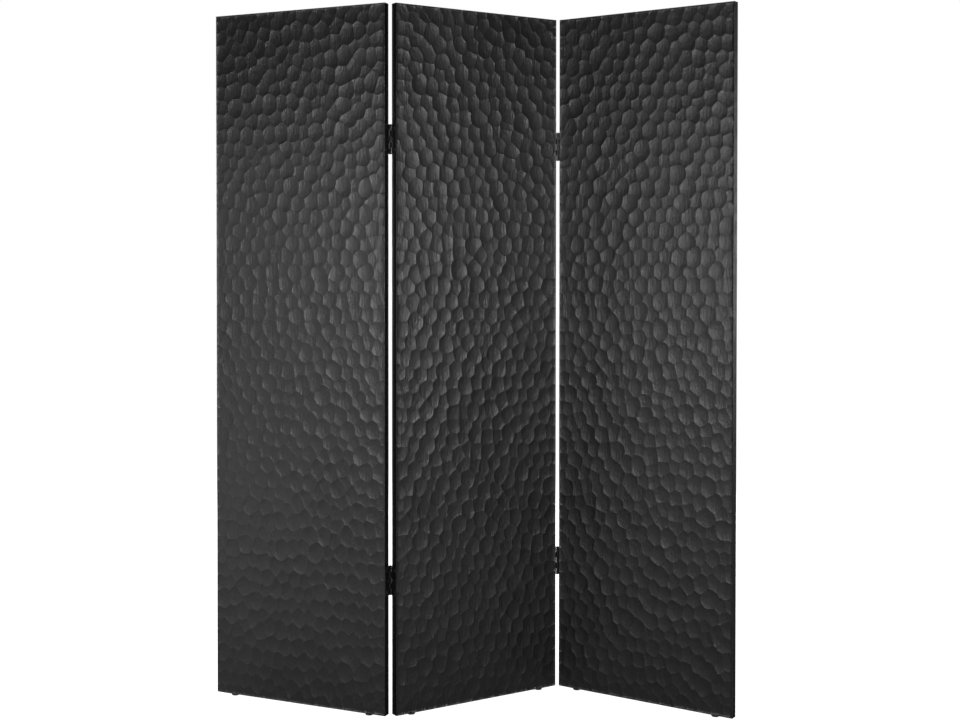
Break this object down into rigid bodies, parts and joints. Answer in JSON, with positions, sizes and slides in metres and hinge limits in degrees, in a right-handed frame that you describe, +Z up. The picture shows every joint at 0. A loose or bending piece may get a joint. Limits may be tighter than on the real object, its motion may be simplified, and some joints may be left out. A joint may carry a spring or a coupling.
{
  "type": "folding partition screen",
  "caption": "Freestanding folding screen: tall black panels with a gouged, scalloped face, joined edge to edge by butt hinges and standing on small floor glides.",
  "frame": {"origin": "the middle of the box round the standing zigzag, on the floor", "axes": "+Z up; the row of panels runs along X, and the front faces -Y"},
  "size_m": [1.3368, 0.3064, 1.8],
  "materials": {
    "lacquered_facing": "satin",
    "lacquered_edge": "satin",
    "bare_wood": "matte",
    "honeycomb": "matte",
    "black_hardware": "satin",
    "black_nylon": "matte",
    "zinc_steel": "satin"
  },
  "bodies": {
    "middle_panel": {"middle_left_stile": "lacquered_edge", "middle_right_stile": "lacquered_edge", "middle_top_rail": "lacquered_edge", "middle_middle_rail": "bare_wood", "middle_bottom_rail": "lacquered_edge", "middle_upper_core": "honeycomb", "middle_lower_core": "honeycomb", "middle_front_facing": "lacquered_facing", "middle_back_facing": "lacquered_facing", "middle_dowels": "bare_wood", "middle_glides": "black_nylon", "middle_glide_nails": "zinc_steel", "left_upper_hinge_middle_leaf": "black_hardware", "left_lower_hinge_middle_leaf": "black_hardware", "right_upper_hinge_middle_leaf": "black_hardware", "right_lower_hinge_middle_leaf": "black_hardware", "middle_panel_left_screws": "black_hardware", "middle_panel_right_screws": "black_hardware"},
    "left_panel": {"left_outer_stile": "lacquered_edge", "left_inner_stile": "lacquered_edge", "left_top_rail": "lacquered_edge", "left_middle_rail": "bare_wood", "left_bottom_rail": "lacquered_edge", "left_upper_core": "honeycomb", "left_lower_core": "honeycomb", "left_front_facing": "lacquered_facing", "left_back_facing": "lacquered_facing", "left_dowels": "bare_wood", "left_glides": "black_nylon", "left_glide_nails": "zinc_steel", "left_upper_hinge_panel_leaf": "black_hardware", "left_upper_hinge_pin": "black_hardware", "left_lower_hinge_panel_leaf": "black_hardware", "left_lower_hinge_pin": "black_hardware", "left_panel_screws": "black_hardware"},
    "right_panel": {"right_inner_stile": "lacquered_edge", "right_outer_stile": "lacquered_edge", "right_top_rail": "lacquered_edge", "right_middle_rail": "bare_wood", "right_bottom_rail": "lacquered_edge", "right_upper_core": "honeycomb", "right_lower_core": "honeycomb", "right_front_facing": "lacquered_facing", "right_back_facing": "lacquered_facing", "right_dowels": "bare_wood", "right_glides": "black_nylon", "right_glide_nails": "zinc_steel", "right_upper_hinge_panel_leaf": "black_hardware", "right_upper_hinge_pin": "black_hardware", "right_lower_hinge_panel_leaf": "black_hardware", "right_lower_hinge_pin": "black_hardware", "right_panel_screws": "black_hardware"}
  },
  "joints": [
    {"name": "left_fold", "type": "hinge", "parent": "middle_panel", "child": "left_panel", "pos_m": [-0.20194, -0.11117, 0.9], "axis": [0, 0, 1], "range_deg": [-123, 63]},
    {"name": "right_fold", "type": "hinge", "parent": "middle_panel", "child": "right_panel", "pos_m": [0.24201, 0.13322, 0.9], "axis": [0, 0, 1], "range_deg": [-113, 73]}
  ]
}
